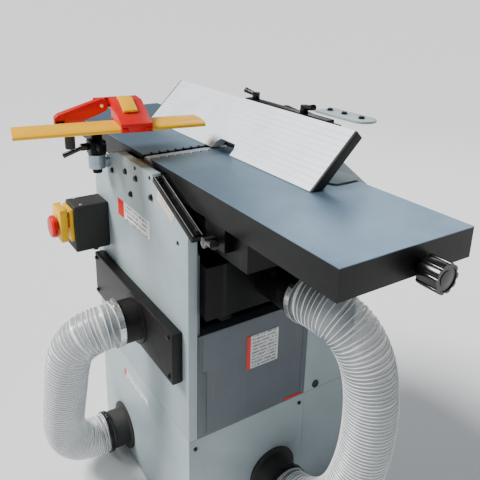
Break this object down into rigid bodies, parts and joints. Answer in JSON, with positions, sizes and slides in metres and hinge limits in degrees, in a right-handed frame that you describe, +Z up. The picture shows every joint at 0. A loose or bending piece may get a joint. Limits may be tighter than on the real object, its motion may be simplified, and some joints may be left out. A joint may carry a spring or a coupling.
{
  "type": "thickness planer",
  "caption": "Combined surface planer and thicknesser with sliding infeed table, tilting fence, bridge guard, height-adjustable bed and suction hoses.",
  "frame": {"origin": "on the floor under the cutterblock's bearing region, at the centre of the tables' width", "axes": "+Z up, +X along the tables towards the infeed end, -Y towards the operator"},
  "size_m": [1.132, 0.6949, 0.9644],
  "materials": {
    "light_grey_paint": "powder-coated, light grey",
    "shaded_grey_paint": "powder-coated, darker grey",
    "table_steel": "planed and ground, satin",
    "black_paint": "satin black paint",
    "black_plastic": "fine textured black",
    "cover_black": "grained black coating",
    "fence_aluminium": "satin anodised extrusion",
    "bright_steel": "machined",
    "zinc_steel": "zinc plated",
    "guard_yellow": "yellow coating",
    "switch_yellow": "yellow moulded plastic",
    "signal_red": "red moulded plastic",
    "start_green": "green moulded plastic",
    "drive_rubber": "black drive belt",
    "clear_hose": "clear ribbed hose",
    "plate_cream": "printed plate"
  },
  "bodies": {
    "frame": {"base_cabinet": "light_grey_paint", "base_port_end": "black_plastic", "base_port_front": "black_plastic", "front_casing": "light_grey_paint", "rear_casing": "light_grey_paint", "front_side_wall": "shaded_grey_paint", "rear_side_wall": "shaded_grey_paint", "end_panel_infeed": "shaded_grey_paint", "end_panel_outfeed": "shaded_grey_paint", "duct_cover": "cover_black", "outfeed_table": "table_steel", "slideway_front": "black_paint", "drive_belt": "drive_rubber", "feed_chain": "bright_steel", "motor": "shaded_grey_paint", "screw_support": "black_paint", "chip_hood": "black_paint", "hose_end": "clear_hose", "hose_front": "clear_hose", "hose_clamp_end": "bright_steel", "hose_clamp_front": "bright_steel", "switch_box": "black_plastic", "switch_plate": "switch_yellow", "guard_socket": "zinc_steel", "fence_rail": "bright_steel", "rating_plate": "plate_cream"},
    "door": {"base_door": "light_grey_paint"},
    "infeed_table": {"infeed_table": "table_steel", "infeed_carriage": "black_paint"},
    "height_knob": {"height_knob": "black_plastic"},
    "infeed_lock_lever": {"infeed_lock_lever": "black_plastic"},
    "cutterblock": {"cutterblock": "bright_steel"},
    "motor_pulley": {"motor_pulley": "bright_steel"},
    "infeed_roller": {"infeed_roller": "bright_steel"},
    "outfeed_roller": {"outfeed_roller": "bright_steel"},
    "kickback_fingers": {"kickback_fingers": "bright_steel"},
    "bed": {"thicknesser_bed": "table_steel"},
    "bed_screw": {"bed_screw": "bright_steel"},
    "bed_crank": {"bed_crank": "black_paint"},
    "switch_flap": {"switch_flap": "switch_yellow"},
    "stop_mushroom": {"stop_mushroom": "signal_red"},
    "start_button": {"start_button": "start_green"},
    "stop_button": {"stop_button": "signal_red"},
    "guard_mount": {"guard_clamp": "black_paint", "guard_post": "black_paint"},
    "guard_clamp_lever": {"guard_clamp_lever": "black_plastic"},
    "guard_knob": {"guard_knob": "black_plastic"},
    "guard_arm": {"guard_arm": "signal_red"},
    "guard_holder": {"guard_holder": "signal_red"},
    "guard_clip": {"guard_clip": "switch_yellow"},
    "guard_bar": {"guard_bar": "guard_yellow"},
    "fence_carriage": {"fence_carriage": "black_paint", "fence_top_plate": "light_grey_paint", "rear_guard": "light_grey_paint"},
    "fence": {"fence_body": "fence_aluminium", "fence_cap_near": "black_plastic", "fence_cap_far": "black_plastic", "fence_bracket": "black_paint"},
    "fence_tilt_lever": {"fence_tilt_lever": "black_plastic"},
    "fence_slide_lever": {"fence_slide_lever": "black_plastic"}
  },
  "joints": [
    {"name": "door_hinge", "type": "hinge", "parent": "frame", "child": "door", "pos_m": [-0.2783, -0.125, 0.145], "axis": [0, 0, 1], "range_deg": [0, 110]},
    {"name": "infeed_table_slide", "type": "slide", "parent": "frame", "child": "infeed_table", "axis": [0.9171, 0, -0.3987], "range_m": [0, 0.01]},
    {"name": "height_knob_turn", "type": "hinge", "parent": "infeed_table", "child": "height_knob", "pos_m": [0.571, 0.027, 0.81], "axis": [1, 0, 0], "range_deg": [0, 2400]},
    {"name": "infeed_lock_turn", "type": "hinge", "parent": "infeed_table", "child": "infeed_lock_lever", "pos_m": [0.268, -0.136, 0.768], "axis": [0, 1, 0], "range_deg": [0, 60]},
    {"name": "cutterblock_spin", "type": "hinge", "parent": "frame", "child": "cutterblock", "pos_m": [-0.006, 0, 0.8135], "axis": [0, 1, 0], "continuous": true},
    {"name": "motor_spin", "type": "hinge", "parent": "frame", "child": "motor_pulley", "pos_m": [-0.16, 0, 0.15], "axis": [0, 1, 0], "continuous": true},
    {"name": "infeed_roller_spin", "type": "hinge", "parent": "frame", "child": "infeed_roller", "pos_m": [-0.075, 0, 0.788], "axis": [0, 1, 0], "continuous": true},
    {"name": "outfeed_roller_spin", "type": "hinge", "parent": "frame", "child": "outfeed_roller", "pos_m": [0.063, 0, 0.788], "axis": [0, 1, 0], "continuous": true},
    {"name": "kickback_swing", "type": "hinge", "parent": "frame", "child": "kickback_fingers", "pos_m": [-0.15, 0, 0.782], "axis": [0, -1, 0], "range_deg": [0, 70]},
    {"name": "bed_lift", "type": "slide", "parent": "frame", "child": "bed", "axis": [0, 0, 1], "range_m": [0, 0.045]},
    {"name": "bed_crank_turn", "type": "hinge", "parent": "frame", "child": "bed_crank", "pos_m": [-0.275, 0, 0.345], "axis": [1, 0, 0], "range_deg": [0, 3240]},
    {"name": "bed_screw_turn", "type": "hinge", "parent": "frame", "child": "bed_screw", "pos_m": [-0.03, 0, 0.3103], "axis": [0, 0, 1], "range_deg": [0, 3240]},
    {"name": "switch_flap_hinge", "type": "hinge", "parent": "frame", "child": "switch_flap", "pos_m": [-0.216, -0.259, 0.689], "axis": [-1, 0, 0], "range_deg": [0, 100]},
    {"name": "stop_mushroom_push", "type": "slide", "parent": "switch_flap", "child": "stop_mushroom", "axis": [0, 1, 0], "range_m": [0, 0.004], "stiffness_N_per_m": 400},
    {"name": "start_button_push", "type": "slide", "parent": "frame", "child": "start_button", "axis": [0, 1, 0], "range_m": [0, 0.0025], "stiffness_N_per_m": 400},
    {"name": "stop_button_push", "type": "slide", "parent": "frame", "child": "stop_button", "axis": [0, 1, 0], "range_m": [0, 0.0025], "stiffness_N_per_m": 400},
    {"name": "guard_swing", "type": "hinge", "parent": "frame", "child": "guard_mount", "pos_m": [-0.168, -0.187, 0.822], "axis": [0, 0, 1], "range_deg": [-70, 25]},
    {"name": "guard_clamp_turn", "type": "hinge", "parent": "guard_mount", "child": "guard_clamp_lever", "pos_m": [-0.168, -0.2053, 0.842], "axis": [0, -1, 0], "range_deg": [-45, 45]},
    {"name": "guard_knob_turn", "type": "hinge", "parent": "guard_mount", "child": "guard_knob", "pos_m": [-0.12625, -0.25892, 0.854], "axis": [0, 0, 1], "range_deg": [-180, 180]},
    {"name": "guard_arm_lift", "type": "hinge", "parent": "guard_mount", "child": "guard_arm", "pos_m": [-0.13063, -0.27743, 0.91], "axis": [0.9839, -0.1788, 0], "range_deg": [0, 30]},
    {"name": "guard_holder_level", "type": "hinge", "parent": "guard_arm", "child": "guard_holder", "pos_m": [-0.11472, -0.18987, 0.945], "axis": [0.9839, -0.1788, 0], "range_deg": [-30, 0]},
    {"name": "guard_clip_press", "type": "hinge", "parent": "guard_holder", "child": "guard_clip", "pos_m": [-0.09173, -0.14729, 0.9612], "axis": [-0.1788, -0.9839, 0], "range_deg": [0, 12], "stiffness_Nm_per_rad": 0.4},
    {"name": "guard_bar_slide", "type": "slide", "parent": "guard_holder", "child": "guard_bar", "axis": [0.1788, 0.9839, 0], "range_m": [-0.1, 0.06]},
    {"name": "fence_slide", "type": "slide", "parent": "frame", "child": "fence_carriage", "axis": [0, 1, 0], "range_m": [-0.055, 0.075]},
    {"name": "fence_tilt", "type": "hinge", "parent": "fence_carriage", "child": "fence", "pos_m": [0, 0.0176, 0.851], "axis": [1, 0, 0], "range_deg": [0, 45]},
    {"name": "fence_tilt_lock", "type": "hinge", "parent": "fence_carriage", "child": "fence_tilt_lever", "pos_m": [0.135, 0.163, 0.9383], "axis": [0, 0, 1], "range_deg": [-40, 35]},
    {"name": "fence_slide_lock", "type": "hinge", "parent": "fence_carriage", "child": "fence_slide_lever", "pos_m": [-0.04, 0.163, 0.9383], "axis": [0, 0, 1], "range_deg": [-35, 40]}
  ],
  "couplings": [
    {"joint": "height_knob_turn", "follows": "infeed_table_slide", "rad_per_m": 4188.8},
    {"joint": "motor_spin", "follows": "cutterblock_spin", "ratio": 0.51136},
    {"joint": "outfeed_roller_spin", "follows": "infeed_roller_spin", "ratio": 1},
    {"joint": "bed_crank_turn", "follows": "bed_lift", "rad_per_m": 1256.6},
    {"joint": "bed_screw_turn", "follows": "bed_lift", "rad_per_m": 1256.6},
    {"joint": "guard_holder_level", "follows": "guard_arm_lift", "ratio": -1}
  ]
}
